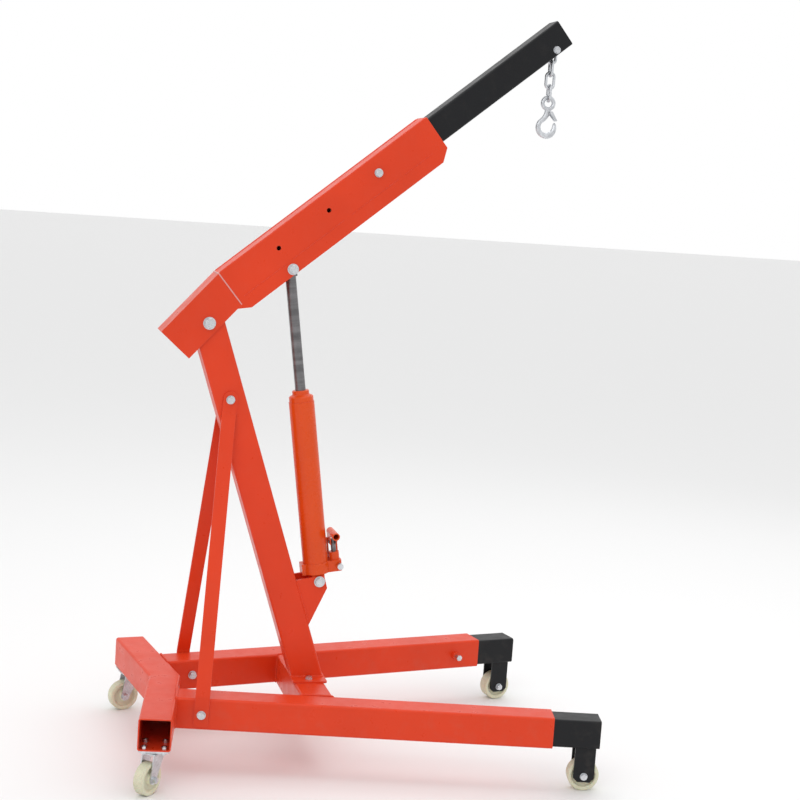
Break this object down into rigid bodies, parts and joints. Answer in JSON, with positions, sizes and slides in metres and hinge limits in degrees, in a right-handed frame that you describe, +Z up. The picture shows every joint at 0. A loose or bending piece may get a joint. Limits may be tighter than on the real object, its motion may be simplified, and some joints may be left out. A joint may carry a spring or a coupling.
{
  "type": "engine hoist crane",
  "caption": "Wheeled workshop crane: V base with splayed telescoping legs, leaning mast, hydraulic ram, telescoping boom, chain and latched hook.",
  "frame": {"origin": "middle of the footprint's bounding rectangle, on the floor", "axes": "+X forward, the way the boom and legs reach; +Y to the left; +Z up"},
  "size_m": [1.4847, 1.029, 2.4267],
  "materials": {
    "frame_paint": "satin red-orange enamel",
    "jack_paint": "gloss orange-red enamel",
    "black_paint": "satin black enamel",
    "zinc": "zinc plated, slightly dulled",
    "wheel_nylon": "cream cast nylon, scuffed tread",
    "ram_steel": "ground and hard-chromed bar, oiled",
    "steel": "plain machined steel",
    "forged_steel": "forged and zinc plated"
  },
  "bodies": {
    "base": {"rear_beam": "frame_paint", "leg_left": "frame_paint", "leg_right": "frame_paint", "cross_beam": "frame_paint", "mast": "frame_paint", "mast_foot_plate": "frame_paint", "mast_foot_bolts": "zinc", "mast_pivot_bush": "steel", "ram_bracket_left": "frame_paint", "ram_bracket_right": "frame_paint", "ram_base_bolt": "zinc", "brace_left": "frame_paint", "brace_right": "frame_paint", "brace_top_bolt": "zinc", "brace_foot_bolts": "zinc", "caster_plate_left": "zinc", "caster_plate_right": "zinc", "caster_mount_bolts": "zinc", "leg_lock_nuts": "frame_paint", "leg_lock_bolts": "zinc"},
    "leg_extension_left": {"leg_extension_left": "black_paint", "front_fork_left": "black_paint", "front_axle_left": "zinc"},
    "leg_extension_right": {"leg_extension_right": "black_paint", "front_fork_right": "black_paint", "front_axle_right": "zinc"},
    "front_wheel_left": {"front_wheel_left": "wheel_nylon"},
    "front_wheel_right": {"front_wheel_right": "wheel_nylon"},
    "rear_swivel_left": {"rear_fork_left": "zinc", "rear_axle_left": "zinc"},
    "rear_swivel_right": {"rear_fork_right": "zinc", "rear_axle_right": "zinc"},
    "rear_wheel_left": {"rear_wheel_left": "wheel_nylon"},
    "rear_wheel_right": {"rear_wheel_right": "wheel_nylon"},
    "boom": {"boom_tube": "frame_paint", "boom_side_left": "frame_paint", "boom_side_right": "frame_paint", "boom_rear_channel": "frame_paint", "boom_pivot_bolt": "zinc", "ram_top_bolt": "zinc", "boom_lock_bolt": "zinc"},
    "boom_extension": {"boom_extension": "black_paint", "boom_lock_shank": "zinc", "chain_pin": "zinc"},
    "chain_link_1": {"chain_link_1": "zinc"},
    "chain_link_2": {"chain_link_2": "zinc"},
    "chain_link_3": {"chain_link_3": "zinc"},
    "chain_link_4": {"chain_link_4": "zinc"},
    "hook": {"hook": "forged_steel"},
    "hook_latch": {"hook_latch": "zinc"},
    "ram_cylinder": {"ram_base_block": "jack_paint", "ram_reservoir": "jack_paint", "ram_pressure_tube": "steel", "ram_cap": "jack_paint", "pump_lever_pin": "zinc"},
    "ram_rod": {"ram_rod": "ram_steel", "ram_top_shank": "zinc"},
    "pump_plunger": {"pump_plunger": "ram_steel"},
    "pump_lever": {"pump_handle_socket": "jack_paint"},
    "release_valve": {"release_valve": "zinc"}
  },
  "joints": [
    {"name": "boom_lift", "type": "hinge", "parent": "base", "child": "boom", "pos_m": [-0.52136, 0, 1.39375], "axis": [0, -1, 0], "range_deg": [-55, 10]},
    {"name": "ram_tilt", "type": "hinge", "parent": "base", "child": "ram_cylinder", "pos_m": [-0.1136, 0, 0.564], "axis": [0, -1, 0], "range_deg": [-2.3, 0.5]},
    {"name": "ram_extend", "type": "slide", "parent": "ram_cylinder", "child": "ram_rod", "axis": [-0.1488, 0, 0.9889], "range_m": [-0.31, 0.06]},
    {"name": "boom_extend", "type": "slide", "parent": "boom", "child": "boom_extension", "axis": [0.766, 0, 0.6428], "range_m": [-0.4, 0]},
    {"name": "chain_swing_1", "type": "hinge", "parent": "boom_extension", "child": "chain_link_1", "pos_m": [0.5582, 0, 2.33405], "axis": [0, 1, 0], "range_deg": [-65, 5]},
    {"name": "chain_swing_2", "type": "hinge", "parent": "chain_link_1", "child": "chain_link_2", "pos_m": [0.5582, 0, 2.29435], "axis": [1, 0, 0], "range_deg": [-35, 35]},
    {"name": "chain_swing_3", "type": "hinge", "parent": "chain_link_2", "child": "chain_link_3", "pos_m": [0.5582, 0, 2.25365], "axis": [0, 1, 0], "range_deg": [-35, 10]},
    {"name": "chain_swing_4", "type": "hinge", "parent": "chain_link_3", "child": "chain_link_4", "pos_m": [0.5582, 0, 2.21295], "axis": [1, 0, 0], "range_deg": [-35, 35]},
    {"name": "hook_swing", "type": "hinge", "parent": "chain_link_4", "child": "hook", "pos_m": [0.5582, 0, 2.17225], "axis": [0, 1, 0], "range_deg": [-35, 20]},
    {"name": "latch_open", "type": "hinge", "parent": "hook", "child": "hook_latch", "pos_m": [0.5682, 0, 2.13455], "axis": [0, 1, 0], "range_deg": [0, 40], "stiffness_Nm_per_rad": 0.05, "springref_deg": -17.19},
    {"name": "release_turn", "type": "hinge", "parent": "ram_cylinder", "child": "release_valve", "pos_m": [-0.04638, -0.024, 0.61457], "axis": [0, -1, 0], "range_deg": [0, 180]},
    {"name": "pump_lever", "type": "hinge", "parent": "ram_cylinder", "child": "pump_lever", "pos_m": [-0.06788, 0.026, 0.69021], "axis": [0.9889, 0, 0.1488], "range_deg": [-22, 22]},
    {"name": "pump_stroke", "type": "slide", "parent": "ram_cylinder", "child": "pump_plunger", "axis": [-0.1488, 0, 0.9889], "range_m": [-0.0101, 0.0101]},
    {"name": "leg_extend_left", "type": "slide", "parent": "base", "child": "leg_extension_left", "axis": [0.9774, 0.2113, 0], "range_m": [-0.07, 0.25]},
    {"name": "front_roll_left", "type": "hinge", "parent": "leg_extension_left", "child": "front_wheel_left", "pos_m": [0.6899, 0.46188, 0.05], "axis": [-0.2113, 0.9774, 0], "continuous": true},
    {"name": "swivel_left", "type": "hinge", "parent": "base", "child": "rear_swivel_left", "pos_m": [-0.66248, 0.39488, 0.1], "axis": [0, 0, 1], "continuous": true},
    {"name": "rear_roll_left", "type": "hinge", "parent": "rear_swivel_left", "child": "rear_wheel_left", "pos_m": [-0.69102, 0.38561, 0.05], "axis": [0.309, -0.9511, 0], "continuous": true},
    {"name": "leg_extend_right", "type": "slide", "parent": "base", "child": "leg_extension_right", "axis": [0.9774, -0.2113, 0], "range_m": [-0.07, 0.25]},
    {"name": "front_roll_right", "type": "hinge", "parent": "leg_extension_right", "child": "front_wheel_right", "pos_m": [0.6899, -0.46188, 0.05], "axis": [0.2113, 0.9774, 0], "continuous": true},
    {"name": "swivel_right", "type": "hinge", "parent": "base", "child": "rear_swivel_right", "pos_m": [-0.66248, -0.39488, 0.1], "axis": [0, 0, 1], "continuous": true},
    {"name": "rear_roll_right", "type": "hinge", "parent": "rear_swivel_right", "child": "rear_wheel_right", "pos_m": [-0.68256, -0.41717, 0.05], "axis": [0.7431, -0.6691, 0], "continuous": true}
  ],
  "couplings": [
    {"joint": "ram_tilt", "follows": "boom_lift", "ratio": 0.039},
    {"joint": "ram_extend", "follows": "boom_lift", "m_per_rad": 0.3156},
    {"joint": "pump_stroke", "follows": "pump_lever", "m_per_rad": -0.026}
  ]
}
